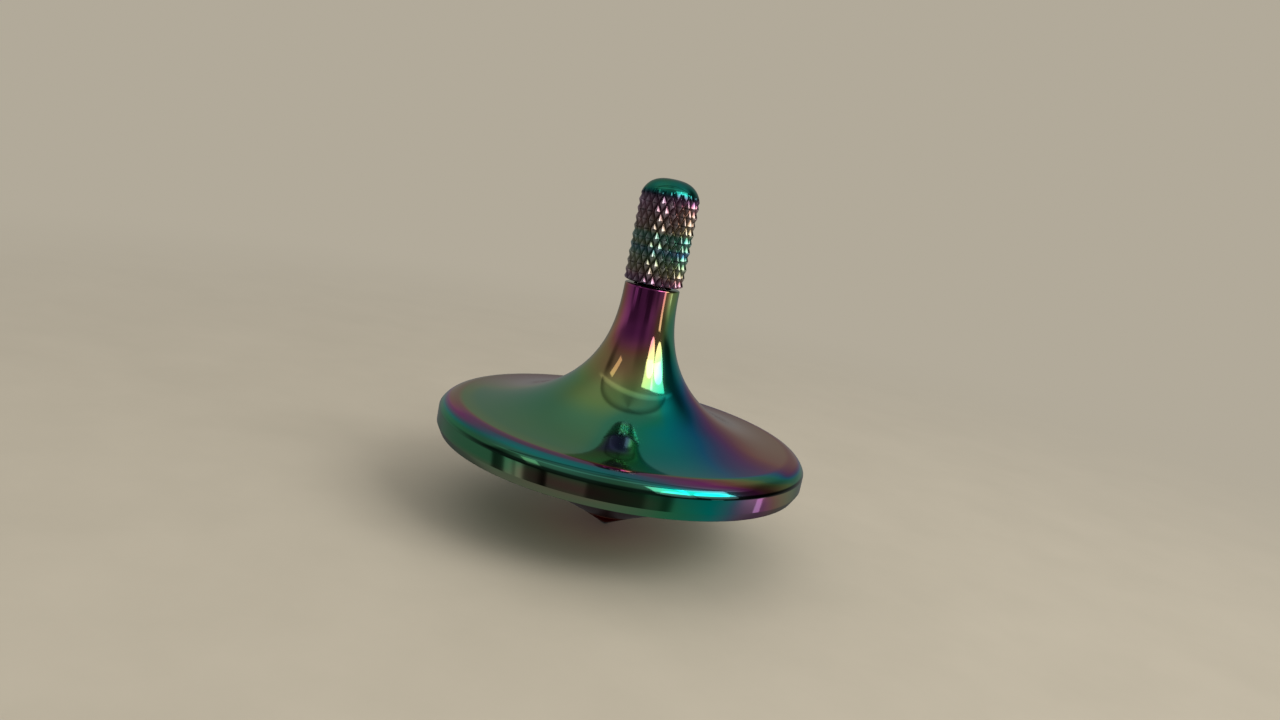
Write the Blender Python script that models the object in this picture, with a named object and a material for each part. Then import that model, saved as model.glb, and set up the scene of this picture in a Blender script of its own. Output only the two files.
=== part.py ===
"""Spinning top: a turned steel rotor with a flared neck, a knurled finger grip screwed to it,
and a hard ball tip in a pressed-in carrier.

The top stands upright on the ball. +Z is the spin axis and the origin is the ball's contact
point. All driving dimensions are in millimetres.
"""
import math

import bmesh
import bpy

MM = 0.001

# Rotor: the heavy disc and the neck that flares out of it
RIM_RADIUS = 15.0
RIM_BOTTOM_Z = 6.3  # the flat ring under the rim
RIM_FLAT_INNER_RADIUS = 12.6
RIM_CHAMFER_WIDTH = 0.36
RIM_CHAMFER_HEIGHT = 0.66
RIM_BAND_HEIGHT = 1.04  # the straight outer wall above the chamfer
RIM_CORNER_RADIUS = 0.35  # small radius at the top of the wall
RIM_CORNER_TURN = math.radians(30.0)
RIM_ROUNDING_RADIUS = 1.75  # from the corner over to the top of the disc
UNDERSIDE_SLOPE = math.radians(26.0)  # cone from the flat ring down to the nose
FLARE_OUTER_RADIUS = 13.25
FLARE_RADIAL_POWER = 1.96  # powers of the superellipse that the flare follows
FLARE_HEIGHT_POWER = 2.54
NECK_RADIUS = 2.23
NECK_TOP_Z = 20.25
NECK_EDGE = 0.08  # small chamfer at the neck's top edge

# Grip: a knurled sleeve with a smooth domed end
GRIP_RADIUS = 2.42  # over the knurl's points
GRIP_TOP_Z = 28.86
GRIP_DOME_START_Z = 26.5
GRIP_DOME_POWER = 2.6
KNURL_STARTS = 20  # grooves of each hand
KNURL_ROW = 0.692  # from one row of points to the next, which sits half a pitch round
KNURL_DEPTH = 0.26
KNURL_FIRST_ROW = 0.113  # height of the first row of points above the grip's foot
KNURL_TURN = math.radians(-3.8)  # turn of a column of points from +X

# Stud: a set screw that joins the grip to the neck
STUD_RADIUS = 1.25
STUD_PITCH = 0.45
STUD_THREAD_DEPTH = 0.24
STUD_LENGTH = 10.0
STUD_BOTTOM_Z = 15.6
STUD_HEX_ACROSS_FLATS = 1.27
STUD_HEX_DEPTH = 1.3
STUD_CHAMFER = 0.2

# Tip: a ball, and the carrier that holds it
BALL_RADIUS = 0.5
BALL_GAP = 0.08  # running gap between the ball and its cup
CARRIER_HEAD_RADIUS = 2.6
CARRIER_HEAD_TOP_Z = 2.6
CARRIER_SHANK_RADIUS = 1.5
CARRIER_TOP_Z = 6.0
CARRIER_NOSE_Z = 0.28  # lower face of the lip round the ball
CARRIER_LIP = 0.1
CARRIER_CHAMFER = 0.25

GAP = 0.3  # between faces that meet in the real assembly
DRILL_POINT = math.radians(59.0)  # half angle of a drilled hole's end

ROTOR_SEGMENTS = 80
SMALL_SEGMENTS = 40
STUD_SEGMENTS = 20
CORNER_STEPS = 2
ROUNDING_STEPS = 4
FLARE_STEPS = 18
DOME_STEPS = 7

RIM_BAND_BOTTOM_Z = RIM_BOTTOM_Z + RIM_CHAMFER_HEIGHT
RIM_BAND_TOP_Z = RIM_BAND_BOTTOM_Z + RIM_BAND_HEIGHT
CORNER_RISE = RIM_CORNER_RADIUS * math.sin(RIM_CORNER_TURN)
DISC_TOP_Z = RIM_BAND_TOP_Z + CORNER_RISE + RIM_ROUNDING_RADIUS * (1 - math.sin(RIM_CORNER_TURN))
GRIP_BOTTOM_Z = NECK_TOP_Z + GAP


def clear_scene():
    for item in list(bpy.data.objects):
        bpy.data.objects.remove(item)


def metal(name, colour, roughness, metallic=1.0):
    material = bpy.data.materials.new(name)
    material.use_nodes = True
    shader = material.node_tree.nodes["Principled BSDF"]
    shader.inputs["Base Color"].default_value = (*colour, 1.0)
    shader.inputs["Roughness"].default_value = roughness
    shader.inputs["Metallic"].default_value = metallic
    return material


def new_object(name, bm, material, sharp_angle=math.radians(28.0)):
    """Closes off a bmesh as a named, smooth-shaded object with its faces pointing out."""
    bmesh.ops.remove_doubles(bm, verts=bm.verts, dist=1e-7)
    bmesh.ops.dissolve_degenerate(bm, dist=1e-7, edges=bm.edges)
    bmesh.ops.recalc_face_normals(bm, faces=bm.faces)
    mesh = bpy.data.meshes.new(name)
    bm.to_mesh(mesh)
    bm.free()
    mesh.materials.append(material)
    mesh.shade_smooth()
    mesh.set_sharp_from_angle(angle=sharp_angle)
    item = bpy.data.objects.new(name, mesh)
    bpy.context.collection.objects.link(item)
    return item


def turned(name, outline, segments, material):
    """Spins an outline of (radius, height) points, which starts and ends on the Z axis."""
    bm = bmesh.new()
    verts = [bm.verts.new((radius * MM, 0.0, height * MM)) for radius, height in outline]
    edges = [bm.edges.new(pair) for pair in zip(verts, verts[1:])]
    bmesh.ops.spin(
        bm, geom=verts + edges, cent=(0, 0, 0), axis=(0, 0, 1),
        angle=math.tau, steps=segments, use_duplicate=False,
    )
    return new_object(name, bm, material)


def drilled_hole(radius, mouth_z, depth_z):
    """Outline of a blind hole from its mouth to the drill's point on the axis."""
    point = radius / math.tan(DRILL_POINT)
    point_z = depth_z + math.copysign(point, depth_z - mouth_z)
    return [(radius, mouth_z), (radius, depth_z), (0.0, point_z)]


def underside_z(radius):
    """Height of the cone under the disc at a radius."""
    return RIM_BOTTOM_Z - (RIM_FLAT_INNER_RADIUS - radius) * math.tan(UNDERSIDE_SLOPE)


def arc(centre_radius, centre_z, arc_radius, start, end, steps):
    """Points along an arc of the outline, without its first; 0 faces out and pi / 2 up."""
    points = []
    for step in range(1, steps + 1):
        turn = start + (end - start) * step / steps
        points.append((
            centre_radius + arc_radius * math.cos(turn),
            centre_z + arc_radius * math.sin(turn),
        ))
    return points


def rim_rounding():
    """The small corner at the top of the wall, then the larger arc that it runs into."""
    corner_centre_radius = RIM_RADIUS - RIM_CORNER_RADIUS
    difference = RIM_ROUNDING_RADIUS - RIM_CORNER_RADIUS
    return [
        *arc(corner_centre_radius, RIM_BAND_TOP_Z, RIM_CORNER_RADIUS, 0.0, RIM_CORNER_TURN, CORNER_STEPS),
        *arc(
            corner_centre_radius - difference * math.cos(RIM_CORNER_TURN),
            RIM_BAND_TOP_Z - difference * math.sin(RIM_CORNER_TURN),
            RIM_ROUNDING_RADIUS, RIM_CORNER_TURN, math.pi / 2, ROUNDING_STEPS,
        ),
    ]


def flare():
    """Superellipse from the flat of the disc up into the neck's straight wall."""
    width = FLARE_OUTER_RADIUS - NECK_RADIUS
    height = NECK_TOP_Z - NECK_EDGE - DISC_TOP_Z
    points = []
    for step in range(FLARE_STEPS + 1):
        turn = math.pi / 2 * step / FLARE_STEPS
        points.append((
            FLARE_OUTER_RADIUS - width * max(math.sin(turn), 0.0) ** (2 / FLARE_RADIAL_POWER),
            DISC_TOP_Z + height * (1 - max(math.cos(turn), 0.0) ** (2 / FLARE_HEIGHT_POWER)),
        ))
    return points


def rotor_body(material):
    counterbore_radius = CARRIER_HEAD_RADIUS + GAP
    counterbore_z = CARRIER_HEAD_TOP_Z + GAP
    shank_hole = drilled_hole(CARRIER_SHANK_RADIUS + GAP, counterbore_z, CARRIER_TOP_Z + GAP)
    stud_hole = drilled_hole(STUD_RADIUS + GAP, NECK_TOP_Z, STUD_BOTTOM_Z - GAP)
    outline = [
        *reversed(shank_hole),
        (counterbore_radius, counterbore_z),
        (counterbore_radius, underside_z(counterbore_radius)),
        (RIM_FLAT_INNER_RADIUS, RIM_BOTTOM_Z),
        (RIM_RADIUS - RIM_CHAMFER_WIDTH, RIM_BOTTOM_Z),
        (RIM_RADIUS, RIM_BAND_BOTTOM_Z),
        (RIM_RADIUS, RIM_BAND_TOP_Z),
        *rim_rounding(),
        *flare(),
        (NECK_RADIUS - NECK_EDGE, NECK_TOP_Z),
        *stud_hole,
    ]
    return turned("rotor_body", outline, ROTOR_SEGMENTS, material)


def dome_radius(z):
    """Radius of the grip's smooth domed end, which also trims the top of the knurl."""
    if z <= GRIP_DOME_START_Z:
        return GRIP_RADIUS
    rise = min((z - GRIP_DOME_START_Z) / (GRIP_TOP_Z - GRIP_DOME_START_Z), 1.0)
    return GRIP_RADIUS * (1 - rise ** GRIP_DOME_POWER) ** (1 / GRIP_DOME_POWER)


def dome_height(radius):
    rise = (1 - (radius / GRIP_RADIUS) ** GRIP_DOME_POWER) ** (1 / GRIP_DOME_POWER)
    return GRIP_DOME_START_Z + (GRIP_TOP_Z - GRIP_DOME_START_Z) * rise


def ring(bm, radius, z, count, turn=0.0):
    """A level ring of vertices; radius is a number, or a function of the column."""
    verts = []
    for column in range(count):
        angle = math.tau * column / count + turn
        r = radius(column) if callable(radius) else radius
        verts.append(bm.verts.new((r * MM * math.cos(angle), r * MM * math.sin(angle), z * MM)))
    return verts


def bridge(bm, lower, upper, split=None):
    """Quads between two rings, or triangles where split says which diagonal to cut."""
    count = len(lower)
    for column in range(count):
        after = (column + 1) % count
        a, b, c, d = lower[column], lower[after], upper[after], upper[column]
        if split is None:
            bm.faces.new((a, b, c, d))
        elif split(column):
            bm.faces.new((a, b, c))
            bm.faces.new((a, c, d))
        else:
            bm.faces.new((a, b, d))
            bm.faces.new((b, c, d))


def cap(bm, verts, z):
    centre = bm.verts.new((0.0, 0.0, z * MM))
    count = len(verts)
    for column in range(count):
        bm.faces.new((verts[column], verts[(column + 1) % count], centre))


def knurled_grip(material):
    """Knurl points and groove crossings alternate round each row and from row to row.

    Each four-sided cell between two rows is split along its groove, which gives flat-sided
    diamond points. The dome trims the last rows.
    """
    columns = 2 * KNURL_STARTS
    root_radius = GRIP_RADIUS - KNURL_DEPTH
    first_row_z = GRIP_BOTTOM_Z + KNURL_FIRST_ROW
    last_row = int((dome_height(root_radius) - first_row_z) / KNURL_ROW)
    bm = bmesh.new()

    def knurl_ring(row):
        z = first_row_z + row * KNURL_ROW

        def radius(column):
            is_point = (row + column) % 2 == 0
            return min(dome_radius(z), GRIP_RADIUS if is_point else root_radius)

        return ring(bm, radius, z, columns, KNURL_TURN)

    bore_radius = STUD_RADIUS + GAP
    bore_top_z = STUD_BOTTOM_Z + STUD_LENGTH + GAP
    bore_mouth = ring(bm, bore_radius, GRIP_BOTTOM_Z, columns, KNURL_TURN)
    bore_end = ring(bm, bore_radius, bore_top_z, columns, KNURL_TURN)
    cap(bm, bore_end, bore_top_z + bore_radius / math.tan(DRILL_POINT))
    bridge(bm, bore_end, bore_mouth)

    foot = ring(bm, root_radius, GRIP_BOTTOM_Z, columns, KNURL_TURN)
    bridge(bm, bore_mouth, foot)
    below = knurl_ring(0)
    bridge(bm, foot, below)
    for row in range(1, last_row + 1):
        above = knurl_ring(row)
        # a groove crossing starts the groove that climbs to the next column's crossing
        bridge(bm, below, above, split=lambda column: (row - 1 + column) % 2 == 1)
        below = above

    for step in range(DOME_STEPS):
        radius = root_radius * math.cos(math.pi / 2 * step / DOME_STEPS)
        above = ring(bm, radius, dome_height(radius), columns, KNURL_TURN)
        bridge(bm, below, above)
        below = above
    cap(bm, below, GRIP_TOP_Z)
    return new_object("knurled_grip", bm, material, sharp_angle=math.radians(18.0))


def hex_cutter(name, across_flats, bottom_z, top_z):
    bm = bmesh.new()
    corner_radius = across_flats / math.sqrt(3.0)
    lower = ring(bm, corner_radius, bottom_z, 6)
    upper = ring(bm, corner_radius, top_z, 6)
    bridge(bm, lower, upper)
    bm.faces.new(lower)
    bm.faces.new(upper)
    bmesh.ops.recalc_face_normals(bm, faces=bm.faces)
    mesh = bpy.data.meshes.new(name)
    bm.to_mesh(mesh)
    bm.free()
    cutter = bpy.data.objects.new(name, mesh)
    bpy.context.collection.objects.link(cutter)
    cutter.hide_render = True
    cutter.display_type = "WIRE"
    return cutter


def grip_stud(material):
    """Set screw: crest and root lines climb round it, and run out into the plain ends."""
    root_radius = STUD_RADIUS - STUD_THREAD_DEPTH
    thread_low_z = STUD_BOTTOM_Z + STUD_CHAMFER
    thread_high_z = STUD_BOTTOM_Z + STUD_LENGTH - STUD_CHAMFER
    turns = math.ceil((thread_high_z - thread_low_z) / STUD_PITCH) + 1
    bm = bmesh.new()
    lines = []
    for line in range(2 * turns + 1):
        verts = []
        for column in range(STUD_SEGMENTS + 1):
            climb = line / 2 - 1 + column / STUD_SEGMENTS
            z = thread_low_z + STUD_PITCH * climb
            inside = thread_low_z < z < thread_high_z
            radius = STUD_RADIUS if line % 2 and inside else root_radius
            z = min(max(z, thread_low_z), thread_high_z)
            angle = math.tau * column / STUD_SEGMENTS
            verts.append(bm.verts.new((
                radius * MM * math.cos(angle), radius * MM * math.sin(angle), z * MM,
            )))
        lines.append(verts)
    for lower, upper in zip(lines, lines[1:]):
        for column in range(STUD_SEGMENTS):
            bm.faces.new((lower[column], lower[column + 1], upper[column + 1], upper[column]))
    for z, end_z in ((thread_low_z, STUD_BOTTOM_Z), (thread_high_z, STUD_BOTTOM_Z + STUD_LENGTH)):
        base = ring(bm, root_radius, z, STUD_SEGMENTS)
        face = ring(bm, root_radius - STUD_CHAMFER / 2, end_z, STUD_SEGMENTS)
        bridge(bm, base, face)
        cap(bm, face, end_z)
    stud = new_object("grip_stud", bm, material)

    top_z = STUD_BOTTOM_Z + STUD_LENGTH
    cutter = hex_cutter("hex_cutter", STUD_HEX_ACROSS_FLATS, top_z - STUD_HEX_DEPTH, top_z + 1.0)
    cut = stud.modifiers.new("hex_socket", "BOOLEAN")
    cut.operation = "DIFFERENCE"
    cut.object = cutter
    return stud


def tip_carrier(material):
    """Stepped plug pressed up into the nose. Its lip is rolled in round the ball."""
    cup_radius = BALL_RADIUS + BALL_GAP
    mouth_angle = math.acos((BALL_RADIUS - CARRIER_NOSE_Z) / cup_radius)
    cup = []
    steps = 8
    for step in range(steps + 1):
        turn = math.pi - (math.pi - mouth_angle) * step / steps
        cup.append((cup_radius * math.sin(turn), BALL_RADIUS - cup_radius * math.cos(turn)))
    cup[0] = (0.0, BALL_RADIUS + cup_radius)
    mouth_radius = cup[-1][0]
    outline = [
        *cup,
        (mouth_radius + CARRIER_LIP, CARRIER_NOSE_Z),
        (CARRIER_HEAD_RADIUS, underside_z(CARRIER_HEAD_RADIUS)),
        (CARRIER_HEAD_RADIUS, CARRIER_HEAD_TOP_Z),
        (CARRIER_SHANK_RADIUS, CARRIER_HEAD_TOP_Z),
        (CARRIER_SHANK_RADIUS, CARRIER_TOP_Z - CARRIER_CHAMFER),
        (CARRIER_SHANK_RADIUS - CARRIER_CHAMFER, CARRIER_TOP_Z),
        (0.0, CARRIER_TOP_Z),
    ]
    return turned("tip_carrier", outline, SMALL_SEGMENTS, material)


def tip_ball(material):
    bm = bmesh.new()
    bmesh.ops.create_uvsphere(bm, u_segments=24, v_segments=14, radius=BALL_RADIUS * MM)
    ball = new_object("tip_ball", bm, material, sharp_angle=math.pi)
    ball.location = (0.0, 0.0, BALL_RADIUS * MM)
    return ball


def build():
    clear_scene()
    film = metal("rainbow_film_teal", (0.07, 0.25, 0.22), 0.14)
    film_knurl = metal("rainbow_film_magenta", (0.20, 0.07, 0.17), 0.18)
    steel = metal("plain_steel", (0.52, 0.52, 0.53), 0.32)
    carrier_steel = metal("film_on_carrier", (0.12, 0.05, 0.05), 0.22)
    ceramic = metal("black_ceramic", (0.02, 0.02, 0.022), 0.12, metallic=0.0)
    top = bpy.data.objects.new("spinning_top", None)
    bpy.context.collection.objects.link(top)
    pieces = (
        rotor_body(film),
        knurled_grip(film_knurl),
        grip_stud(steel),
        tip_carrier(carrier_steel),
        tip_ball(ceramic),
    )
    for piece in pieces:
        piece.parent = top


build()
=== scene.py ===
"""Spinning top: polished steel under an iridescent film, with a diamond-knurled grip.

Builds the final meshes, materials, floor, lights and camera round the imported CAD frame.
Lengths in the shape sections are millimetres until they reach a mesh.
"""

import math

import bpy
import numpy as np
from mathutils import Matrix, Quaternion, Vector


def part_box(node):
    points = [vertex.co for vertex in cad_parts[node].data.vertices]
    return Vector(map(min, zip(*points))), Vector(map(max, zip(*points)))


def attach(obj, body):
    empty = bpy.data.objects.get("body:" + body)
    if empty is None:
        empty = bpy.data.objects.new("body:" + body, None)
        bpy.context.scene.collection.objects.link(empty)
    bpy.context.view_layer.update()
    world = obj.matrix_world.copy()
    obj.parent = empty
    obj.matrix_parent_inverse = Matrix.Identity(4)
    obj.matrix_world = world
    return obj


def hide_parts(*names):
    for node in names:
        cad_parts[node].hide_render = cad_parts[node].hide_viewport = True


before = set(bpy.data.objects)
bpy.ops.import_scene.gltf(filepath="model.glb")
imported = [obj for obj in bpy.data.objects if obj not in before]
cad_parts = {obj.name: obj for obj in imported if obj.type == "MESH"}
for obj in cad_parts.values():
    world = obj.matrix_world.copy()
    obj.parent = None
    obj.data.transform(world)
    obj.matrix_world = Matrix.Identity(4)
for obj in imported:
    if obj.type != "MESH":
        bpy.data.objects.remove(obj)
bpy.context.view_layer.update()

MM = 0.001
ROTOR_LOW, ROTOR_HIGH = (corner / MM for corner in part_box("rotor_body"))
GRIP_LOW, GRIP_HIGH = (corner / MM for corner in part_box("knurled_grip"))
CARRIER_LOW, CARRIER_HIGH = (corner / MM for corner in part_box("tip_carrier"))
BALL_LOW, BALL_HIGH = (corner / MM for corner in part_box("tip_ball"))

RIM_RADIUS = ROTOR_HIGH.x
RIM_BOTTOM_Z = 6.3
RIM_FLAT_INNER_RADIUS = 12.6
RIM_CHAMFER_WIDTH = 0.36
RIM_CHAMFER_TOP_Z = 6.96
RIM_BAND_TOP_Z = 8.0
RIM_CORNER_RADIUS = 0.35
RIM_CORNER_TURN = 30.0  # degrees round the corner to where the larger rounding takes over
RIM_ROUNDING_RADIUS = 1.75
DISC_TOP_Z = 9.05
UNDERSIDE_SLOPE = math.tan(math.radians(26.0))
FLARE_OUTER_RADIUS = 13.25
FLARE_RADIAL_POWER = 1.96
FLARE_HEIGHT_POWER = 2.54
NECK_RADIUS = 2.23
CARRIER_SEAM = 0.05  # round the carrier's head, where the CAD has a wider gap
NECK_GROOVE = 0.24  # the dark line between neck and grip
NECK_TOP_Z = GRIP_LOW.z - NECK_GROOVE
FLARE_TOP_Z = GRIP_LOW.z - 0.38  # just under the neck's rounded edge
GRIP_RADIUS = 2.42
GRIP_DOME_START_Z = 26.5
GRIP_DOME_POWER = 2.6
KNURL_STARTS = 20
KNURL_ROW = 0.692
KNURL_DEPTH = 0.26
KNURL_TURN = -3.8  # degrees that a column of points is turned from +X
KNURL_LIFT = 0.163  # rows that the pattern starts above the grip's foot
KNURL_ROUNDING = 0.015  # softening of crests and groove roots, as a share of a groove's spacing
KNURL_FOOT_SLOPE = 2.3  # how fast the knurl rises from its root at the grip's foot
GRIP_BORE_TOP_Z = 25.9
STUD_HOLE_RADIUS = 1.55
STUD_HOLE_FLOOR_Z = 15.3
CARRIER_HEAD_TOP_Z = 2.6
CARRIER_SHANK_RADIUS = 1.5
CARRIER_TOP_Z = 6.0
CARRIER_CHAMFER = 0.25
CARRIER_LIP = 0.12
BALL_SEAM = 0.015  # between the ball and its cup
INNER_GAP = 0.3  # the CAD's gap, kept where it doesn't show
EDGE_ROUND = 0.06
NECK_EDGE_ROUND = 0.09
FLAT_INNER_ROUND = 0.5  # where the flat ring under the rim runs into the cone
DRILL_POINT = math.tan(math.radians(59.0))
ROTOR_SEGMENTS = 360
CARRIER_SEGMENTS = 160
BALL_SEGMENTS = 72


# ---------------------------------------------------------------- shapes

def arc(centre, radius, start, end, steps):
    """Points on an arc in the (radius, height) plane, angles in degrees."""
    points = []
    for step in range(steps + 1):
        turn = math.radians(start + (end - start) * step / steps)
        points.append((centre[0] + radius * math.cos(turn), centre[1] + radius * math.sin(turn)))
    return points


def fillet(before, corner, after, radius, steps=4):
    """Replaces a corner of an outline with a small round."""
    before, corner, after = Vector(before), Vector(corner), Vector(after)
    one = (before - corner).normalized()
    two = (after - corner).normalized()
    half = one.angle(two) / 2
    reach = radius / math.tan(half)
    centre = corner + (one + two).normalized() * (radius / math.sin(half))
    first = (corner + one * reach - centre).normalized()
    last = (corner + two * reach - centre).normalized()
    points = []
    for step in range(steps + 1):
        points.append(tuple(centre + first.slerp(last, step / steps).normalized() * radius))
    return points


def soften(outline, rounds):
    """Fillets the corners of an outline that rounds names by index."""
    points = []
    for index, corner in enumerate(outline):
        if index in rounds:
            points += fillet(outline[index - 1], corner, outline[index + 1], rounds[index])
        else:
            points.append(corner)
    return points


def finished_mesh(name, verts, faces, sharp_angle=40.0):
    mesh = bpy.data.meshes.new(name)
    mesh.from_pydata(verts, [], faces)
    mesh.shade_smooth()
    mesh.set_sharp_from_angle(angle=math.radians(sharp_angle))
    mesh.update()
    piece = bpy.data.objects.new(name, mesh)
    bpy.context.scene.collection.objects.link(piece)
    return piece


def turned(name, outline, segments, sharp_angle=40.0):
    """Turns an outline of (radius, height) points about Z; its ends lie on the axis."""
    verts, rings, faces = [], [], []
    for radius, height in outline:
        if radius < 1e-9:
            rings.append([len(verts)])
            verts.append((0.0, 0.0, height * MM))
            continue
        rings.append(list(range(len(verts), len(verts) + segments)))
        for step in range(segments):
            angle = math.tau * step / segments
            verts.append((radius * MM * math.cos(angle), radius * MM * math.sin(angle), height * MM))
    for lower, upper in zip(rings, rings[1:]):
        for step in range(segments):
            after = (step + 1) % segments
            if len(lower) == 1:
                faces.append((lower[0], upper[after], upper[step]))
            elif len(upper) == 1:
                faces.append((lower[step], lower[after], upper[0]))
            else:
                faces.append((lower[step], lower[after], upper[after], upper[step]))
    return finished_mesh(name, verts, faces, sharp_angle)


def underside_z(radius):
    return RIM_BOTTOM_Z - (RIM_FLAT_INNER_RADIUS - radius) * UNDERSIDE_SLOPE


def flare(steps=72):
    width = FLARE_OUTER_RADIUS - NECK_RADIUS
    height = FLARE_TOP_Z - DISC_TOP_Z
    points = []
    for step in range(steps + 1):
        turn = math.pi / 2 * step / steps
        points.append((
            FLARE_OUTER_RADIUS - width * max(math.sin(turn), 0.0) ** (2 / FLARE_RADIAL_POWER),
            DISC_TOP_Z + height * (1 - max(math.cos(turn), 0.0) ** (2 / FLARE_HEIGHT_POWER)),
        ))
    return points


def rim_rounding():
    corner_centre = Vector((RIM_RADIUS - RIM_CORNER_RADIUS, RIM_BAND_TOP_Z))
    turn = math.radians(RIM_CORNER_TURN)
    back = Vector((math.cos(turn), math.sin(turn))) * (RIM_ROUNDING_RADIUS - RIM_CORNER_RADIUS)
    return [
        *arc(corner_centre, RIM_CORNER_RADIUS, 0, RIM_CORNER_TURN, 8)[1:],
        *arc(corner_centre - back, RIM_ROUNDING_RADIUS, RIM_CORNER_TURN, 90, 16)[1:],
    ]


def make_rotor():
    mouth_radius = CARRIER_HIGH.x + CARRIER_SEAM
    shank_radius = CARRIER_SHANK_RADIUS + INNER_GAP
    shank_top_z = CARRIER_TOP_Z + INNER_GAP
    counterbore_z = CARRIER_HEAD_TOP_Z + INNER_GAP
    neck_edge = (NECK_RADIUS, NECK_TOP_Z)
    under = soften([
        (mouth_radius, counterbore_z),
        (mouth_radius, underside_z(mouth_radius)),
        (RIM_FLAT_INNER_RADIUS, RIM_BOTTOM_Z),
        (RIM_RADIUS - RIM_CHAMFER_WIDTH, RIM_BOTTOM_Z),
        (RIM_RADIUS, RIM_CHAMFER_TOP_Z),
        (RIM_RADIUS, RIM_BAND_TOP_Z),
    ], {1: EDGE_ROUND, 2: FLAT_INNER_ROUND, 3: EDGE_ROUND, 4: EDGE_ROUND})
    outline = [
        (0.0, shank_top_z + shank_radius / DRILL_POINT),
        (shank_radius, shank_top_z),
        (shank_radius, counterbore_z),
        *under,
        *rim_rounding(),
        *flare(),
        *fillet((NECK_RADIUS, NECK_TOP_Z - 1), neck_edge, (0, NECK_TOP_Z), NECK_EDGE_ROUND),
        (STUD_HOLE_RADIUS, NECK_TOP_Z),
        (STUD_HOLE_RADIUS, STUD_HOLE_FLOOR_Z),
        (0.0, STUD_HOLE_FLOOR_Z - STUD_HOLE_RADIUS / DRILL_POINT),
    ]
    return turned("top_rotor", outline, ROTOR_SEGMENTS)


def dome_radius(z):
    if z <= GRIP_DOME_START_Z:
        return GRIP_RADIUS
    rise = min((z - GRIP_DOME_START_Z) / (GRIP_HIGH.z - GRIP_DOME_START_Z), 1.0)
    return GRIP_RADIUS * (1 - rise ** GRIP_DOME_POWER) ** (1 / GRIP_DOME_POWER)


def dome_height(radius):
    rise = (1 - (radius / GRIP_RADIUS) ** GRIP_DOME_POWER) ** (1 / GRIP_DOME_POWER)
    return GRIP_DOME_START_Z + (GRIP_HIGH.z - GRIP_DOME_START_Z) * rise


def soft_abs(value):
    return np.sqrt(value * value + KNURL_ROUNDING ** 2)


def soft_max(one, two):
    return (one + two + soft_abs(one - two)) / 2


def knurl_relief(column, row):
    """0 in the grooves to 1 at the diamonds' points; both families of grooves are 45 degree
    lines in (column, row), which count half pitches round the grip and rows up it."""
    first, second = (column + row) / 2, (column - row) / 2
    away = soft_max(soft_abs(first - np.round(first)), soft_abs(second - np.round(second)))
    return np.clip(1 - 2 * away, 0, 1)


def make_grip():
    """A fine grid round the grip whose radius follows the knurl, trimmed by the dome."""
    per_cell = 10
    columns = 2 * KNURL_STARTS * per_cell
    bottom_z = GRIP_LOW.z
    trim_z = dome_height(GRIP_RADIUS - KNURL_DEPTH)
    cells = (trim_z - bottom_z) / KNURL_ROW
    rows = np.linspace(0, cells, int(cells * per_cell) + 1)
    column = np.arange(columns) / per_cell - KNURL_TURN / (180 / KNURL_STARTS)
    verts, faces, rings = [], [], []

    def add_ring(radii, z):
        rings.append(np.arange(len(verts), len(verts) + columns))
        for step in range(columns):
            angle = math.tau * step / columns
            r = radii[step] * MM
            verts.append((r * math.cos(angle), r * math.sin(angle), z * MM))

    even = np.ones(columns)
    add_ring(even * STUD_HOLE_RADIUS, GRIP_BORE_TOP_Z)
    add_ring(even * STUD_HOLE_RADIUS, bottom_z)
    for row in rows:
        z = bottom_z + row * KNURL_ROW
        relief = knurl_relief(column, np.full(columns, row - KNURL_LIFT))
        radii = GRIP_RADIUS - KNURL_DEPTH * (1 - relief)
        foot = GRIP_RADIUS - KNURL_DEPTH + (z - bottom_z) * KNURL_FOOT_SLOPE
        limit = min(dome_radius(z), foot)
        add_ring(np.minimum(radii, limit), z)
    dome_steps = 26
    start = GRIP_RADIUS - KNURL_DEPTH
    for step in range(1, dome_steps):
        radius = start * math.cos(math.pi / 2 * step / dome_steps)
        add_ring(even * radius, dome_height(radius))
    for lower, upper in zip(rings, rings[1:]):
        for step in range(columns):
            after = (step + 1) % columns
            faces.append((int(lower[step]), int(lower[after]), int(upper[after]), int(upper[step])))
    bore_point, crown = len(verts), len(verts) + 1
    bore_point_z = GRIP_BORE_TOP_Z + STUD_HOLE_RADIUS / DRILL_POINT
    verts += [(0, 0, bore_point_z * MM), (0, 0, GRIP_HIGH.z * MM)]
    for step in range(columns):
        after = (step + 1) % columns
        faces.append((bore_point, int(rings[0][after]), int(rings[0][step])))
        faces.append((int(rings[-1][step]), int(rings[-1][after]), crown))
    return finished_mesh("top_grip", verts, faces, 50.0)


def make_carrier():
    """Nose plug, with its lip rolled in to just clear the ball."""
    ball_radius = BALL_HIGH.x
    cup_radius = ball_radius + BALL_SEAM
    centre = (0.0, ball_radius)
    lip_z = CARRIER_LOW.z
    mouth = math.degrees(math.asin((lip_z - ball_radius) / cup_radius))
    head_radius = CARRIER_HIGH.x
    cup = [(0.0, ball_radius + cup_radius), *arc(centre, cup_radius, 90, mouth, 16)[1:]]
    body = soften([
        cup[-1],
        (cup[-1][0] + CARRIER_LIP, lip_z),
        (head_radius, underside_z(head_radius)),
        (head_radius, CARRIER_HEAD_TOP_Z),
        (CARRIER_SHANK_RADIUS, CARRIER_HEAD_TOP_Z),
        (CARRIER_SHANK_RADIUS, CARRIER_TOP_Z - CARRIER_CHAMFER),
        (CARRIER_SHANK_RADIUS - CARRIER_CHAMFER, CARRIER_HIGH.z),
    ], {1: 0.04, 2: 0.05, 3: 0.08})
    outline = [*cup, *body[1:], (0.0, CARRIER_HIGH.z)]
    return turned("top_tip_carrier", outline, CARRIER_SEGMENTS)


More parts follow.
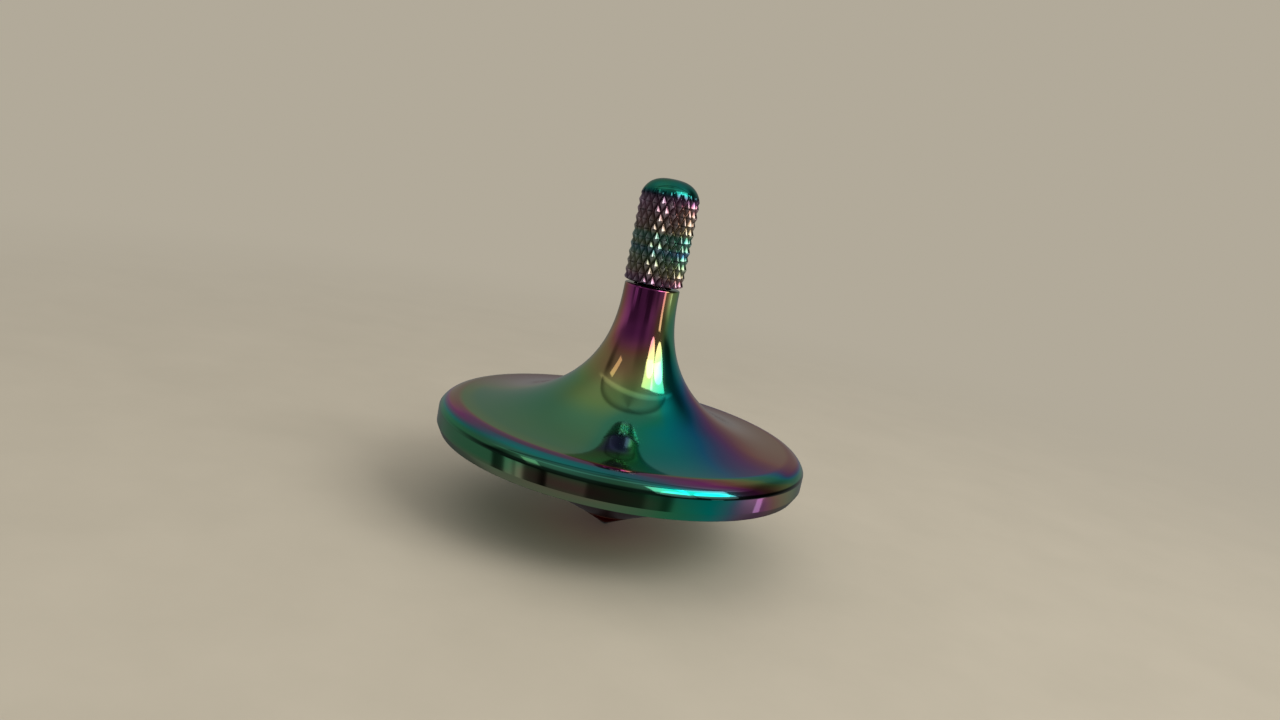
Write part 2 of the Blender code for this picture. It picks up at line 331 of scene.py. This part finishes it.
def make_ball():
    radius = BALL_HIGH.x
    outline = [(0.0, 0.0), *arc((0, radius), radius, -87, 87, 40), (0.0, 2 * radius)]
    return turned("top_tip_ball", outline, BALL_SEGMENTS, sharp_angle=180.0)


# ---------------------------------------------------------------- materials

class Graph:
    """Short names for building a node tree. A value is a number, a tuple or a socket."""

    def __init__(self, tree):
        self.tree = tree

    def put(self, socket, value):
        if isinstance(value, bpy.types.NodeSocket):
            self.tree.links.new(value, socket)
        else:
            socket.default_value = value

    def node(self, kind, inputs=(), **settings):
        item = self.tree.nodes.new(kind)
        for key, value in settings.items():
            setattr(item, key, value)
        for key, value in dict(inputs).items():
            self.put(item.inputs[key], value)
        return item

    def math(self, operation, *values, clamp=False):
        item = self.node("ShaderNodeMath", enumerate(values), operation=operation)
        item.use_clamp = clamp
        return item.outputs[0]

    def step(self, value, low, high, out_low=0.0, out_high=1.0):
        """Smooth step of value from low to high."""
        item = self.node("ShaderNodeMapRange", {
            "Value": value, "From Min": low, "From Max": high, "To Min": out_low, "To Max": out_high,
        }, interpolation_type="SMOOTHSTEP")
        return item.outputs[0]

    def blend(self, factor, one, two):
        item = self.node("ShaderNodeMix", {0: factor, 2: one, 3: two})
        return item.outputs[0]

    def blend_colour(self, factor, one, two):
        item = self.node("ShaderNodeMix", {0: factor, 6: one, 7: two}, data_type="RGBA")
        return item.outputs[2]

    def curve(self, value, points):
        """A smooth curve through (x, y) points, both from 0 to 1."""
        item = self.node("ShaderNodeFloatCurve", {"Value": value})
        line = item.mapping.curves[0]
        while len(line.points) < len(points):
            line.points.new(0.5, 0.5)
        for point, (x, y) in zip(line.points, points):
            point.location = (x, y)
            point.handle_type = "AUTO_CLAMPED"
        item.mapping.update()
        return item.outputs[0]

    def around(self, share, points):
        """A curve round the axis through (degrees from the front towards +X, level) points."""
        return self.curve(share, [(degrees / 360 + 0.5, level) for degrees, level in points])

    def joined(self, along, rings):
        """Values at rising places along something, each taking over smoothly from the last."""
        before, value = rings[0]
        for place, ring in rings[1:]:
            value = self.blend(self.step(along, before, place), value, ring)
            before = place
        return value

    def product(self, *values):
        result = values[0]
        for value in values[1:]:
            result = self.math("MULTIPLY", result, value)
        return result

    def paint(self, colour, target, *amounts):
        """The colour, moved towards the target by the product of the amounts."""
        return self.blend_colour(self.product(*amounts), colour, (*target, 1.0))

    def ramp(self, value, stops):
        item = self.node("ShaderNodeValToRGB", {"Fac": value})
        elements = item.color_ramp.elements
        while len(elements) < len(stops):
            elements.new(1.0)
        for element, (place, colour) in zip(elements, stops):
            element.position = place
            element.color = (*colour, 1.0)
        return item.outputs["Color"]

    def noise(self, vector, scale, detail=3.0, roughness=0.5):
        item = self.node("ShaderNodeTexNoise", {
            "Vector": vector, "Scale": scale, "Detail": detail, "Roughness": roughness,
        })
        return item.outputs["Fac"]


# Colours that the film runs through, by a number here called its phase. The hues come round
# again every 5 or 6.
PHASE_LOW, PHASE_HIGH = -3.0, 9.0
FILM = (
    (-3.0, (0.32, 0.20, 0.14)),  # bronze
    (-2.5, (0.24, 0.29, 0.15)),  # olive
    (-2.0, (0.04, 0.33, 0.13)),  # green
    (-1.3, (0.0, 0.34, 0.29)),  # teal
    (-0.7, (0.08, 0.20, 0.28)),  # blue
    (0.0, (0.24, 0.12, 0.25)),  # violet
    (0.7, (0.36, 0.06, 0.27)),  # purple
    (1.0, (0.46, 0.11, 0.24)),  # magenta
    (1.4, (0.44, 0.17, 0.13)),  # rose
    (1.8, (0.42, 0.28, 0.13)),  # orange
    (2.1, (0.37, 0.34, 0.13)),  # yellow
    (2.6, (0.24, 0.41, 0.14)),  # yellow-green
    (3.0, (0.09, 0.37, 0.21)),  # green
    (3.7, (0.02, 0.37, 0.23)),
    (4.2, (0.0, 0.36, 0.36)),  # teal
    (4.8, (0.0, 0.22, 0.44)),  # blue
    (5.3, (0.08, 0.12, 0.34)),
    (6.0, (0.22, 0.055, 0.28)),  # violet
    (6.6, (0.35, 0.07, 0.18)),  # magenta
    (7.3, (0.52, 0.17, 0.14)),  # rose
    (8.0, (0.61, 0.34, 0.21)),  # copper
    (9.0, (0.62, 0.48, 0.32)),  # straw
)

# Film phase round the rotor, in degrees from the front towards +X. Each ring sits at a place
# along the outline, counted as radius minus height in millimetres.
ROTOR_RINGS = (
    (-18.2, ((-180, 1.6), (-130, 2.5), (-80, 1.9), (-65, 1.4), (-50, 0.95), (-38, 0.72), (-15, 0.68),
             (12, 0.8), (25, 0.95), (35, 1.7), (45, 2.2), (62, 2.55), (110, 2.9), (180, 1.6))),
    (-14.3, ((-180, 1.2), (-130, 2.4), (-88, 1.9), (-70, 1.65), (-60, 1.4), (-45, 0.95), (-25, 0.7),
             (0, 0.72), (15, 0.95), (25, 1.6), (35, 2.0), (45, 2.7), (60, 3.1), (85, 3.3), (125, 2.9),
             (180, 1.2))),
    (-10.8, ((-180, 2.7), (-80, 2.1), (-55, 1.95), (-30, 1.75), (-12, 1.78), (5, 2.1), (20, 2.55),
             (35, 3.0), (46, 4.0), (65, 4.2), (95, 4.2), (130, 3.6), (180, 2.7))),
    (-6.8, ((-180, 3.0), (-80, 2.9), (-60, 2.72), (-40, 2.53), (-20, 2.58), (0, 2.8), (15, 3.0),
            (23, 3.3), (30, 4.0), (45, 4.3), (55, 4.7), (65, 5.2), (75, 6.0), (85, 7.0), (110, 7.2),
            (145, 5.0), (180, 3.0))),
    (-2.5, ((-180, 1.2), (-125, 1.2), (-104, 2.2), (-84, 2.95), (-20, 2.9), (0, 3.4), (15, 3.9),
            (25, 4.2), (45, 4.8), (55, 5.3), (65, 6.0), (75, 6.6), (85, 7.2), (97, 7.7), (125, 7.9),
            (155, 5.0), (180, 1.2))),
    (2.8, ((-180, 1.2), (-130, 1.3), (-108, 2.2), (-86, 2.9), (-20, 2.85), (0, 3.65), (15, 4.0), (25, 4.2),
           (35, 4.6), (45, 5.3), (55, 5.95), (65, 6.8), (75, 7.7), (110, 8.1), (150, 6.5), (180, 1.2))),
    (4.1, ((-180, 1.2), (-130, 1.3), (-108, 2.0), (-80, 2.65), (-20, 2.7), (0, 3.3), (15, 3.9), (25, 4.2),
           (35, 4.6), (45, 5.3), (55, 5.95), (65, 6.8), (75, 7.7), (110, 8.1), (150, 6.5), (180, 1.2))),
    (4.7, ((-180, 1.9), (-100, 1.8), (-80, 1.7), (-62, 1.1), (-50, 0.6), (-40, 0.4), (-20, 0.35),
           (0, 0.4), (10, 0.55), (20, 0.8), (30, 1.3), (40, 2.3), (50, 3.6), (60, 4.9), (70, 6.7),
           (90, 7.4), (150, 5.0), (180, 1.9))),
    (5.2, ((-180, 2.6), (-100, 2.0), (-80, 1.6), (-62, 0.9), (-50, 0.0), (-40, -0.6), (-28, -1.0),
           (-10, -1.0), (10, -0.5), (20, 0.3), (30, 1.0), (40, 1.8), (50, 2.9), (60, 4.5), (70, 6.6),
           (90, 7.4), (150, 5.0), (180, 2.6))),
    (6.5, ((-180, -1.5), (-90, -1.6), (-70, -1.9), (-32, -2.0), (-20, -1.8), (-8, -1.7), (2, -1.9),
           (12, -1.7), (22, -1.4), (31, -1.3), (38, -0.3), (44, 0.7), (50, 1.5), (60, 2.4), (72, 3.2),
           (90, 3.5), (140, 1.0), (180, -1.5))),
    (7.6, ((-180, -1.5), (-80, -1.9), (-60, -2.0), (-32, -2.1), (-20, -2.9), (-8, -3.0), (2, -2.5),
           (12, -2.1), (22, -1.6), (31, -1.1), (38, -0.2), (45, 0.4), (50, 1.1), (60, 2.1), (72, 2.7),
           (90, 3.0), (140, 1.0), (180, -1.5))),
    (8.3, ((-180, -1.5), (-60, -2.2), (-35, -2.5), (-10, -2.4), (10, -2.1), (20, -1.8), (30, -1.2),
           (40, 0.0), (50, 1.0), (60, 1.9), (80, 2.6), (140, 1.0), (180, -1.5))),
)

# Film phase up the grip, by height in millimetres.
GRIP_PHASE = (
    (20.5, 0.6), (21.0, 0.9), (21.6, 1.9), (22.2, 2.3), (22.8, 3.0), (23.3, 4.5), (23.7, 2.6),
    (24.3, 3.5), (24.8, 2.0), (25.6, 1.5), (26.4, 1.1), (27.0, 0.8), (27.4, 0.0), (27.7, -1.0),
    (28.1, -1.6), (28.9, -1.5),
)


def phase_share(phase):
    return (phase - PHASE_LOW) / (PHASE_HIGH - PHASE_LOW)


def new_material(name):
    material = bpy.data.materials.new(name)
    material.use_nodes = True
    graph = Graph(material.node_tree)
    shader = material.node_tree.nodes["Principled BSDF"]
    return material, graph, shader


def object_point(graph):
    return graph.node("ShaderNodeTexCoord").outputs["Object"]


def placed(graph, point):
    """Height and radius in millimetres, and the share of a turn: 0.5 in front, 0.75 at +X."""
    parts = graph.node("ShaderNodeSeparateXYZ", {0: point}).outputs
    x, y, z = (graph.math("DIVIDE", part, MM) for part in parts)
    squares = graph.math("ADD", graph.math("MULTIPLY", x, x), graph.math("MULTIPLY", y, y))
    radius = graph.math("SQRT", squares)
    turn = graph.math("ARCTAN2", x, graph.math("MULTIPLY", y, -1.0))
    share = graph.math("MULTIPLY_ADD", turn, 1 / math.tau, 0.5)
    return z, radius, share


def film_colour(graph, phase):
    return graph.ramp(phase, [(phase_share(place), colour) for place, colour in FILM])


def wear(graph, point, shader, roughness, spread, bump_strength):
    """Roughness that varies in patches, and the faint unevenness that polishing leaves."""
    patches = graph.noise(point, 260.0, 4.0, 0.6)
    fine = graph.noise(point, 2600.0, 3.0, 0.55)
    uneven = graph.math("MULTIPLY_ADD", patches, spread, roughness - spread / 2)
    graph.put(shader.inputs["Roughness"], graph.math("MULTIPLY_ADD", fine, spread * 0.6, uneven))
    bump = graph.node("ShaderNodeBump", {
        "Strength": bump_strength, "Distance": 0.00002, "Height": patches,
    })
    graph.put(shader.inputs["Normal"], bump.outputs[0])


# Mixed into the film's colours: bare and worn metal, a muted line, painted dark and pale reflections on
# the rotor, and painted shade on the nose.
BARE_RIM = (0.25, 0.25, 0.24)
DARK_REFLECTION_RIM = (0.10, 0.10, 0.08)
RIM_LINE = (0.17, 0.13, 0.16)
PALE_REFLECTION_BACK = (0.52, 0.47, 0.46)
DARK_REFLECTION_CORNER = (0.008, 0.016, 0.014)
BARE_KNURL = (0.25, 0.25, 0.23)
WORN_CREST = (0.62, 0.60, 0.64)
SHADED_NOSE_FILM = (0.16, 0.04, 0.03)
PLAIN_EDGE = (0.85, 0.85, 0.84, 1.0)  # tints of metal seen edge on
SHADED_UNDERSIDE_EDGE = (0.30, 0.10, 0.07, 1.0)
GRIP_EDGE = (0.7, 0.7, 0.66, 1.0)


def rotor_phase(graph, share, along):
    rings = []
    for place, points in ROTOR_RINGS:
        shares = [(degrees, phase_share(phase)) for degrees, phase in points]
        rings.append((place, graph.around(share, shares)))
    return graph.joined(along, rings)


def rotor_paint(graph, colour, share, along):
    """Marks on the rotor that are fixed to its azimuth, chosen for a view from the front: bare metal, a
    muted line, and painted dark and pale reflections.
    """
    bare = graph.curve(share, [
        (0.0, 0.5), (0.2, 0.5), (0.33, 0.2), (0.47, 0.16), (0.53, 0.14), (0.56, 0.0), (0.595, 0.0),
        (0.62, 0.25), (0.75, 0.3), (1.0, 0.5),
    ])
    colour = graph.paint(colour, BARE_RIM, graph.step(along, 6.6, 7.0), bare)

    # painted dark reflection: the front of the rim's rounding is darkened
    dark_reflection_front = graph.curve(share, [
        (0.0, 0.0), (0.3, 0.0), (0.42, 0.45), (0.52, 0.45), (0.545, 0.0), (1.0, 0.0),
    ])
    start, end = graph.step(along, 5.4, 6.0), graph.step(along, 7.0, 6.8)
    colour = graph.paint(colour, DARK_REFLECTION_RIM, start, end, dark_reflection_front)

    line = graph.curve(share, [
        (0.0, 0.0), (0.3, 0.1), (0.42, 0.5), (0.53, 0.5), (0.6, 0.0), (1.0, 0.0),
    ])
    start, end = graph.step(along, 4.1, 4.4), graph.step(along, 5.1, 4.9)
    colour = graph.paint(colour, RIM_LINE, start, end, line)

    # painted pale reflection: the back of the disc is lightened towards a pale grey
    back = graph.curve(share, [
        (0.0, 0.35), (0.15, 0.5), (0.27, 0.0), (0.78, 0.0), (0.9, 0.4), (1.0, 0.35),
    ])
    outer, inner = graph.step(along, 5.0, 4.0), graph.step(along, -7.0, -4.0)
    colour = graph.paint(colour, PALE_REFLECTION_BACK, back, outer, inner)

    # painted dark reflection: a near-black line round the rim's corner, strongest in front and to the
    # right
    start, end = graph.step(along, 6.52, 6.68), graph.step(along, 6.93, 7.02)
    corner = graph.math("SUBTRACT", start, end, clamp=True)
    corner_reflection_share = graph.curve(share, [
        (0.0, 0.2), (0.33, 0.2), (0.4, 0.85), (0.53, 0.85), (0.54, 0.97), (0.68, 0.95),
        (0.74, 0.3), (1.0, 0.2),
    ])
    return graph.paint(colour, DARK_REFLECTION_CORNER, corner, corner_reflection_share)


def rotor_material():
    material, graph, shader = new_material("film_on_rotor")
    point = object_point(graph)
    z, radius, share = placed(graph, point)
    along = graph.math("SUBTRACT", radius, z)
    normal = graph.node("ShaderNodeNewGeometry").outputs["Normal"]
    facing = graph.node("ShaderNodeSeparateXYZ", {0: normal}).outputs[2]
    beneath = graph.step(facing, -0.6, -0.85)
    under_phase = graph.step(radius, 1.0, 14.5, phase_share(1.2), phase_share(4.4))
    phase = graph.blend(beneath, rotor_phase(graph, share, along), under_phase)
    drift = graph.noise(point, 120.0, 2.0)
    phase = graph.math("ADD", phase, graph.math("MULTIPLY_ADD", drift, 0.02, -0.01))
    colour = rotor_paint(graph, film_colour(graph, phase), share, along)
    graph.put(shader.inputs["Base Color"], colour)
    shader.inputs["Metallic"].default_value = 1.0
    # facing down, the metal's edge-on tint turns dark and reddish: painted shade under the disc
    edge = graph.blend_colour(beneath, PLAIN_EDGE, SHADED_UNDERSIDE_EDGE)
    graph.put(shader.inputs["Specular Tint"], edge)
    wear(graph, point, shader, 0.055, 0.02, 0.25)
    # the disc is a little less polished than the neck and the rim
    satin = graph.step(along, -9.0, -4.0)
    polished = graph.step(along, 4.0, 5.2)
    disc = graph.math("SUBTRACT", satin, polished, clamp=True)
    rough = shader.inputs["Roughness"].links[0].from_socket
    graph.put(shader.inputs["Roughness"], graph.math("MULTIPLY_ADD", disc, 0.02, rough))
    return material


def grip_material():
    material, graph, shader = new_material("film_on_grip")
    point = object_point(graph)
    z, radius, share = placed(graph, point)
    low, high = GRIP_PHASE[0][0], GRIP_PHASE[-1][0]
    height = graph.node("ShaderNodeMapRange", {
        "Value": z, "From Min": low, "From Max": high,
    }).outputs[0]
    phase = graph.curve(height, [((at - low) / (high - low), phase_share(p)) for at, p in GRIP_PHASE])
    side = graph.curve(share, [
        (0.0, 0.5), (0.25, 0.42), (0.5, 0.5), (0.66, 0.66), (0.8, 0.6), (1.0, 0.5),
    ])
    phase = graph.math("ADD", phase, graph.math("MULTIPLY_ADD", side, 0.14, -0.07))
    drift = graph.noise(point, 900.0, 2.0)
    phase = graph.math("ADD", phase, graph.math("MULTIPLY_ADD", drift, 0.08, -0.04))
    knurled = graph.step(z, 27.6, 27.2)
    bare = graph.curve(share, [
        (0.0, 0.4), (0.25, 0.45), (0.45, 0.4), (0.6, 0.25), (0.7, 0.1), (1.0, 0.4),
    ])
    bare = graph.math("MULTIPLY_ADD", knurled, bare, 0.06)
    colour = graph.paint(film_colour(graph, phase), BARE_KNURL, bare)
    crest = graph.step(radius, GRIP_RADIUS - KNURL_DEPTH, GRIP_RADIUS - 0.25 * KNURL_DEPTH)
    colour = graph.paint(colour, WORN_CREST, crest, knurled, 0.34)
    # painted shade: grooves are darker than crests, and the dome is darker at its foot than at its crown
    dome = graph.step(z, 27.5, 28.3, 0.3, 0.9)
    shade = graph.blend(knurled, dome, graph.math("MULTIPLY_ADD", crest, 0.55, 0.45))
    shaded = graph.node("ShaderNodeVectorMath", {0: colour, "Scale": shade}, operation="SCALE")
    graph.put(shader.inputs["Base Color"], shaded.outputs[0])
    shader.inputs["Metallic"].default_value = 1.0
    shader.inputs["Specular Tint"].default_value = GRIP_EDGE
    wear(graph, point, shader, 0.08, 0.03, 0.15)
    return material


def carrier_material():
    material, graph, shader = new_material("film_on_tip_carrier")
    point = object_point(graph)
    _, radius, _ = placed(graph, point)
    phase = graph.step(radius, 0.5, 2.6, phase_share(1.0), phase_share(1.5))
    # painted shade: the carrier's reddish film is darkened halfway towards a dark red, for the shade under
    # the disc
    colour = graph.paint(film_colour(graph, phase), SHADED_NOSE_FILM, 0.5)
    graph.put(shader.inputs["Base Color"], colour)
    shader.inputs["Metallic"].default_value = 1.0
    # the same dark reddish edge-on tint: painted shade under the disc
    shader.inputs["Specular Tint"].default_value = SHADED_UNDERSIDE_EDGE
    wear(graph, point, shader, 0.12, 0.06, 0.3)
    return material


def steel_material():
    material, graph, shader = new_material("plain_steel")
    point = object_point(graph)
    grain = graph.noise(point, 1500.0, 4.0)
    graph.put(shader.inputs["Base Color"], graph.ramp(grain, [
        (0.3, (0.42, 0.42, 0.43)), (0.7, (0.60, 0.60, 0.61)),
    ]))
    shader.inputs["Metallic"].default_value = 1.0
    wear(graph, point, shader, 0.28, 0.1, 0.4)
    return material


def ceramic_material():
    material, graph, shader = new_material("black_ceramic")
    point = object_point(graph)
    grain = graph.noise(point, 4000.0, 3.0)
    graph.put(shader.inputs["Base Color"], graph.ramp(grain, [
        (0.3, (0.010, 0.010, 0.012)), (0.7, (0.026, 0.025, 0.028)),
    ]))
    shader.inputs["Specular IOR Level"].default_value = 0.7
    wear(graph, point, shader, 0.1, 0.05, 0.2)
    return material


# ---------------------------------------------------------------- stage

FLOOR_COLOUR = (0.445, 0.402, 0.322)
DIFFUSE_LIGHT = (0.5, 0.48, 0.45, 1.0)
AIM = (0.0002, 0.0, 0.0142)
CAMERA_PLACE = (0.0, -0.0796, 0.02925)
CAMERA_ROLL = math.radians(11.5)
LENS = 28.125
PANEL_DISTANCE = 0.3
LIT_POINT = (0, 0, 0.012)  # what the panels face


def make_camera():
    data = bpy.data.cameras.new("camera")
    data.lens = LENS
    data.sensor_width = 36.0
    data.clip_start = 0.001
    camera = bpy.data.objects.new("camera", data)
    bpy.context.scene.collection.objects.link(camera)
    camera.location = CAMERA_PLACE
    look = (Vector(AIM) - Vector(CAMERA_PLACE)).to_track_quat("-Z", "Y")
    camera.rotation_euler = (look @ Quaternion((0, 0, 1), CAMERA_ROLL)).to_euler()
    bpy.context.scene.camera = camera


def direction(azimuth, elevation):
    """Unit vector: azimuth 0 is the front (-Y), 90 is +X; both in degrees."""
    turn, rise = math.radians(azimuth), math.radians(elevation)
    return Vector((math.sin(turn) * math.cos(rise), -math.cos(turn) * math.cos(rise), math.sin(rise)))


def panel(name, azimuth, elevation, width, height, radiance, colour=(1, 1, 1), roll=0.0,
          shape="RECTANGLE", on_object=True):
    """A soft light, sized in degrees as the object sees it; on_object shows it in reflections."""
    distance = PANEL_DISTANCE
    data = bpy.data.lights.new(name, "AREA")
    data.shape = shape
    data.size = 2 * distance * math.tan(math.radians(width / 2))
    data.size_y = 2 * distance * math.tan(math.radians(height / 2))
    data.energy = radiance * math.pi * data.size * data.size_y
    data.color = colour
    lamp = bpy.data.objects.new(name, data)
    bpy.context.scene.collection.objects.link(lamp)
    out = direction(azimuth, elevation)
    lamp.location = Vector(LIT_POINT) + out * distance
    face = out.to_track_quat("Z", "Y")
    lamp.rotation_euler = (face @ Quaternion((0, 0, 1), math.radians(roll))).to_euler()
    lamp.visible_camera = False
    lamp.visible_glossy = on_object


def make_lights():
    window = (1.0, 0.98, 0.95)
    panel("window_left_pane", 43, 33, 19, 36, 2.6, window, roll=-3, shape="ELLIPSE")
    panel("window_left_top", 43, 48, 18, 28, 2.2, window, roll=-12)
    panel("window_right_pane", 70, 32, 24, 34, 2.6, window, roll=-3, shape="ELLIPSE")
    panel("window_right_top", 70, 44, 24, 26, 2.2, window, roll=-24)
    panel("window_sill", 62, 0, 8, 18, 1.7, (1.0, 0.95, 0.92))
    panel("side_gap", 96, -13, 5, 18, 0.8, (0.9, 0.95, 1.1))
    panel("lamp", -60, 43, 8, 19, 1.0, (1.0, 0.9, 0.70), roll=43)
    panel("overhead", 0, 85, 80, 80, 0.5, on_object=False)


# The room as the polished metal sees it: luminance round the horizon, in degrees from the
# front towards +X, at a rising series of elevations.
ROOM = (
    (-62, ((-180, 0.05), (-140, 0.10), (-110, 0.25), (110, 0.25), (140, 0.10), (180, 0.05))),
    (-46, ((-180, 0.05), (-140, 0.10), (-110, 0.25), (110, 0.25), (140, 0.10), (180, 0.05))),
    (-22, ((-180, 0.04), (-150, 0.10), (-130, 0.20), (-80, 0.20), (-76, 0.04), (-70, 0.06), (-67, 0.35),
           (-63, 0.38), (-61, 0.22), (-59, 0.42), (-56, 0.36), (-52, 0.07), (-46, 0.05),
           (-40, 0.01), (-38, 0.09), (-16, 0.10), (-13, 0.03), (18, 0.04), (24, 0.10),
           (28, 0.10), (33, 0.06), (40, 0.25), (85, 0.27), (130, 0.25), (150, 0.12), (180, 0.04))),
    (-10, ((-180, 0.15), (-150, 0.22), (-120, 0.22), (-80, 0.20), (-76, 0.04), (-70, 0.06), (-67, 0.35),
           (-63, 0.38), (-61, 0.22), (-59, 0.42), (-56, 0.36), (-52, 0.07), (-46, 0.05),
           (-40, 0.01), (-38, 0.09), (-16, 0.10), (-13, 0.03), (18, 0.04), (24, 0.10),
           (28, 0.08), (33, 0.06), (40, 0.19), (62, 0.23), (76, 0.34), (88, 0.8), (96, 0.9),
           (104, 0.38), (130, 0.31), (150, 0.24), (180, 0.15))),
    (2, ((-180, 0.23), (-140, 0.31), (-100, 0.37), (-80, 0.33), (-72, 0.26), (-64, 0.08),
         (-45, 0.07), (-20, 0.11), (-9, 0.11), (-4, 0.05), (8, 0.05), (18, 0.20), (40, 0.15),
         (74, 0.12), (95, 0.24), (140, 0.27), (180, 0.23))),
    (11, ((-180, 0.23), (-140, 0.30), (-100, 0.27), (-80, 0.15), (-60, 0.12), (-40, 0.11),
          (-20, 0.14), (0, 0.09), (20, 0.18), (30, 0.14), (80, 0.13), (93, 0.04), (108, 0.03),
          (122, 0.14), (140, 0.22), (180, 0.23))),
    (36, ((-180, 0.27), (-95, 0.27), (-84, 0.08), (-76, 0.14), (-66, 0.22), (-40, 0.22),
          (-20, 0.22), (0, 0.14), (14, 0.15), (78, 0.25), (88, 0.22), (98, 0.07), (122, 0.05),
          (136, 0.10), (150, 0.22), (180, 0.27))),
    (62, ((-180, 0.30), (-90, 0.38), (-60, 0.38), (-20, 0.26), (0, 0.24), (30, 0.34), (60, 0.42),
          (105, 0.44), (130, 0.30), (180, 0.30))),
)


def room_light(graph, share, z):
    rings = []
    for elevation, points in ROOM:
        rings.append((math.sin(math.radians(elevation)), graph.around(share, points)))
    return graph.joined(z, rings)


def with_beam(graph, light, x, front, z):
    """A bowed beam overhead: dimmer than the ceiling, bright in front and dark along its back."""
    up = graph.math("MAXIMUM", z, 0.05)
    across = graph.math("DIVIDE", x, up)
    ahead = graph.math("DIVIDE", front, up)
    shifted = graph.math("ADD", across, 0.15)
    bow = graph.product(shifted, shifted, -0.45)
    from_front = graph.math("SUBTRACT", graph.math("ADD", bow, 0.29), ahead)
    from_back = graph.math("ADD", graph.math("MULTIPLY_ADD", across, 0.08, 0.10), ahead)
    inside = graph.product(graph.step(from_front, -0.02, 0.02), graph.step(from_back, -0.03, 0.03))
    light = graph.product(light, graph.blend(inside, 1.0, 0.8))
    edge = graph.step(graph.math("ABSOLUTE", from_front), 0.08, 0.02)
    light = graph.math("MULTIPLY_ADD", graph.product(edge, graph.step(z, 0.6, 0.75)), 0.3, light)
    edge = graph.step(graph.math("ABSOLUTE", from_back), 0.14, 0.01)
    return graph.product(light, graph.blend(graph.product(edge, inside), 1.0, 0.45))


def make_world():
    """The camera sees the backdrop's colour, polished metal the room, and the rest plain light."""
    world = bpy.data.worlds.new("studio")
    bpy.context.scene.world = world
    world.use_nodes = True
    graph = Graph(world.node_tree)
    seen = world.node_tree.nodes["Background"]
    toward = graph.node("ShaderNodeTexCoord").outputs["Generated"]
    x, y, z = graph.node("ShaderNodeSeparateXYZ", {0: toward}).outputs
    front = graph.math("MULTIPLY", y, -1.0)
    share = graph.math("MULTIPLY_ADD", graph.math("ARCTAN2", x, front), 1 / math.tau, 0.5)
    light = with_beam(graph, room_light(graph, share, z), x, front, z)
    room = graph.node("ShaderNodeCombineColor", {0: light, 1: light, 2: light}).outputs[0]
    rays = graph.node("ShaderNodeLightPath").outputs
    colour = graph.blend_colour(rays["Is Glossy Ray"], DIFFUSE_LIGHT, room)
    colour = graph.blend_colour(rays["Is Camera Ray"], colour, (*FLOOR_COLOUR, 1.0))
    graph.put(seen.inputs["Color"], colour)


def make_floor():
    """A level pale floor that fades into the backdrop's own colour, so no hard edge shows."""
    size = 0.6
    mesh = bpy.data.meshes.new("floor")
    corners = [(-size, -size, 0), (size, -size, 0), (size, size, 0), (-size, size, 0)]
    mesh.from_pydata(corners, [], [(0, 1, 2, 3)])
    floor = bpy.data.objects.new("floor", mesh)
    bpy.context.scene.collection.objects.link(floor)
    material, graph, shader = new_material("pale_floor")
    point = object_point(graph)
    grain = graph.noise(point, 90.0, 5.0, 0.6)
    graph.put(shader.inputs["Base Color"], graph.ramp(grain, [
        (0.3, (0.44, 0.398, 0.315)), (0.7, (0.47, 0.425, 0.338)),
    ]))
    shader.inputs["Roughness"].default_value = 0.7
    backdrop = graph.node("ShaderNodeEmission", {"Color": (*FLOOR_COLOUR, 1.0)})
    away = graph.node("ShaderNodeVectorMath", {0: point}, operation="LENGTH").outputs["Value"]
    fade = graph.step(away, 0.03, 0.16)
    mixed = graph.node("ShaderNodeMixShader", {0: fade, 1: shader.outputs[0], 2: backdrop.outputs[0]})
    output = next(item for item in material.node_tree.nodes if item.type == "OUTPUT_MATERIAL")
    graph.put(output.inputs["Surface"], mixed.outputs[0])
    mesh.materials.append(material)
    floor.visible_glossy = False


# ---------------------------------------------------------------- assembly

def place_piece(piece, material, node):
    piece.data.materials.append(material)
    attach(piece, "root")
    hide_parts(node)


place_piece(make_rotor(), rotor_material(), "rotor_body")
place_piece(make_grip(), grip_material(), "knurled_grip")
place_piece(make_carrier(), carrier_material(), "tip_carrier")
place_piece(make_ball(), ceramic_material(), "tip_ball")
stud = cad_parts["grip_stud"]
stud.data.materials.clear()
stud.data.materials.append(steel_material())

make_floor()
make_world()
make_lights()
make_camera()
bpy.context.scene.view_settings.view_transform = "Standard"
